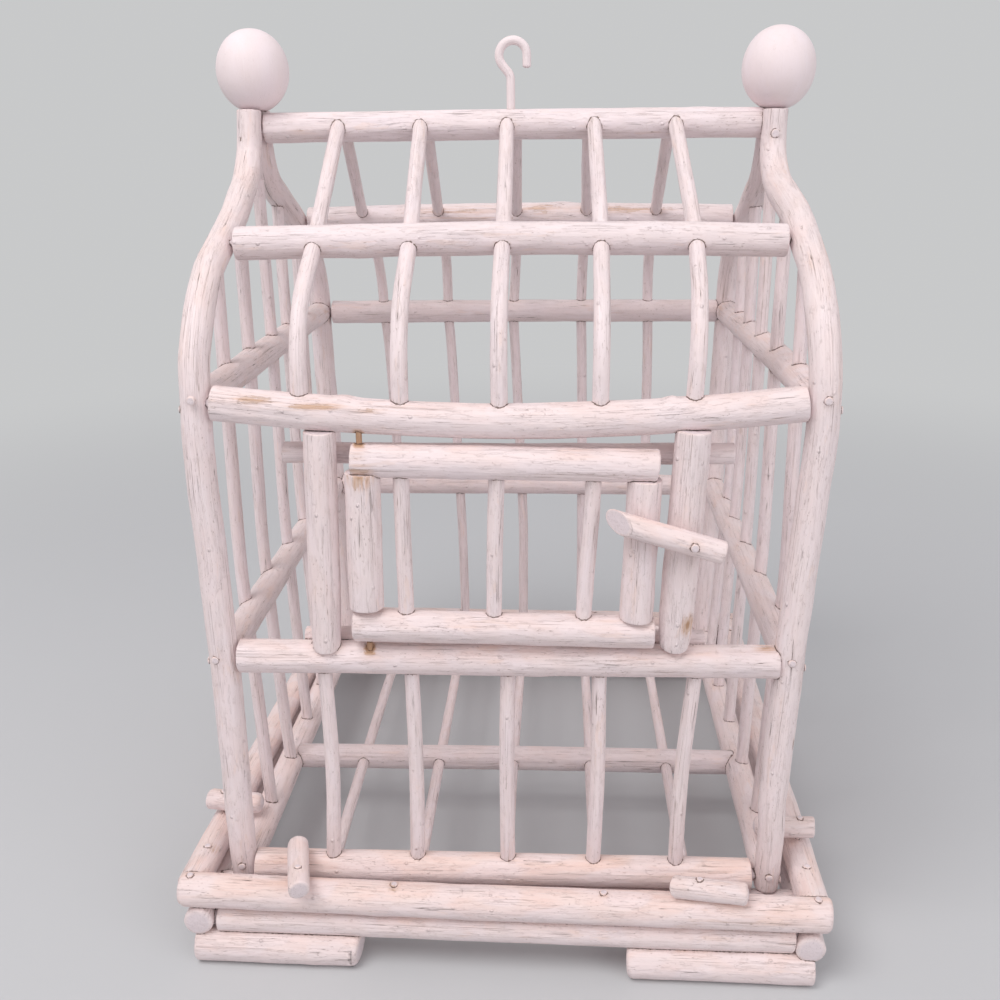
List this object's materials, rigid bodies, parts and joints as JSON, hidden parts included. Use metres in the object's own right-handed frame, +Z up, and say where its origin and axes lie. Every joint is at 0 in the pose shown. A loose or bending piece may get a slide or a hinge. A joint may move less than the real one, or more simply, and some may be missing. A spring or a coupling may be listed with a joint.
{
  "type": "wooden bird cage",
  "caption": "Whitewashed stick bird cage: bent corner posts, ridge pole with hook, ball finials, hinged front door with turning latch, loose log-built base ring with turn-buttons.",
  "frame": {"origin": "on the ground under the middle of the base ring", "axes": "+Z up, door on the -Y side, +X to the right when facing the door"},
  "size_m": [0.3549, 0.3846, 0.4833],
  "materials": {
    "painted_stick": "thin off-white paint on peeled sticks, satin",
    "painted_nail": "painted over steel wire"
  },
  "bodies": {
    "base": {"base_bearers": "painted_stick", "base_log_front": "painted_stick", "base_log_left": "painted_stick", "base_log_rear": "painted_stick", "base_log_right": "painted_stick", "base_nails": "painted_nail", "base_rim_front": "painted_stick", "base_rim_left": "painted_stick", "base_rim_rear": "painted_stick", "base_rim_right": "painted_stick", "foot_front_left": "painted_stick", "foot_front_right": "painted_stick", "foot_rear_left": "painted_stick", "foot_rear_right": "painted_stick"},
    "cage": {"bottom_rail_front": "painted_stick", "bottom_rail_left": "painted_stick", "bottom_rail_rear": "painted_stick", "bottom_rail_right": "painted_stick", "door_hinge_nails": "painted_nail", "door_jamb_left": "painted_stick", "door_jamb_right": "painted_stick", "door_stop_lower": "painted_stick", "door_stop_upper": "painted_stick", "finial_left": "painted_stick", "finial_right": "painted_stick", "floor_bars": "painted_stick", "floor_cross_rail": "painted_stick", "frame_nails": "painted_nail", "front_spindles": "painted_stick", "hook": "painted_nail", "latch_nail": "painted_nail", "lower_rail_front": "painted_stick", "lower_rail_left": "painted_stick", "lower_rail_rear": "painted_stick", "lower_rail_right": "painted_stick", "mid_rail_front": "painted_stick", "mid_rail_left": "painted_stick", "mid_rail_rear": "painted_stick", "mid_rail_right": "painted_stick", "post_front_left": "painted_stick", "post_front_right": "painted_stick", "post_rear_left": "painted_stick", "post_rear_right": "painted_stick", "rear_wall_rods": "painted_stick", "ridge_pole": "painted_stick", "roof_rods": "painted_stick", "shoulder_rail_front": "painted_stick", "shoulder_rail_rear": "painted_stick", "wall_spindles_left": "painted_stick", "wall_spindles_right": "painted_stick"},
    "door": {"door_bottom_rail": "painted_stick", "door_spindles": "painted_stick", "door_stile_left": "painted_stick", "door_stile_right": "painted_stick", "door_top_rail": "painted_stick"},
    "latch": {"latch": "painted_stick"},
    "button_front_left": {"button_front_left": "painted_stick"},
    "button_front_right": {"button_front_right": "painted_stick"},
    "button_left": {"button_left": "painted_stick"},
    "button_right": {"button_right": "painted_stick"}
  },
  "joints": [
    {"name": "cage_lift", "type": "slide", "parent": "base", "child": "cage", "axis": [0, 0, 1], "range_m": [0, 0.2]},
    {"name": "door_hinge", "type": "hinge", "parent": "cage", "child": "door", "pos_m": [-0.069, -0.1545, 0.2307], "axis": [0, 0, -1], "range_deg": [0, 120]},
    {"name": "latch_pivot", "type": "hinge", "parent": "cage", "child": "latch", "pos_m": [0.09061, -0.169, 0.2395], "axis": [0, 1, 0], "continuous": true},
    {"name": "button_front_left_turn", "type": "hinge", "parent": "base", "child": "button_front_left", "pos_m": [-0.10859, -0.17977, 0.0563], "axis": [0, 0, 1], "range_deg": [0, 90]},
    {"name": "button_front_right_turn", "type": "hinge", "parent": "base", "child": "button_front_right", "pos_m": [0.10057, -0.17914, 0.0563], "axis": [0, 0, 1], "range_deg": [0, 98]},
    {"name": "button_left_turn", "type": "hinge", "parent": "base", "child": "button_left", "pos_m": [-0.1674, -0.11302, 0.0563], "axis": [0, 0, -1], "range_deg": [0, 90]},
    {"name": "button_right_turn", "type": "hinge", "parent": "base", "child": "button_right", "pos_m": [0.16234, -0.12853, 0.0563], "axis": [0, 0, -1], "range_deg": [0, 90]}
  ]
}
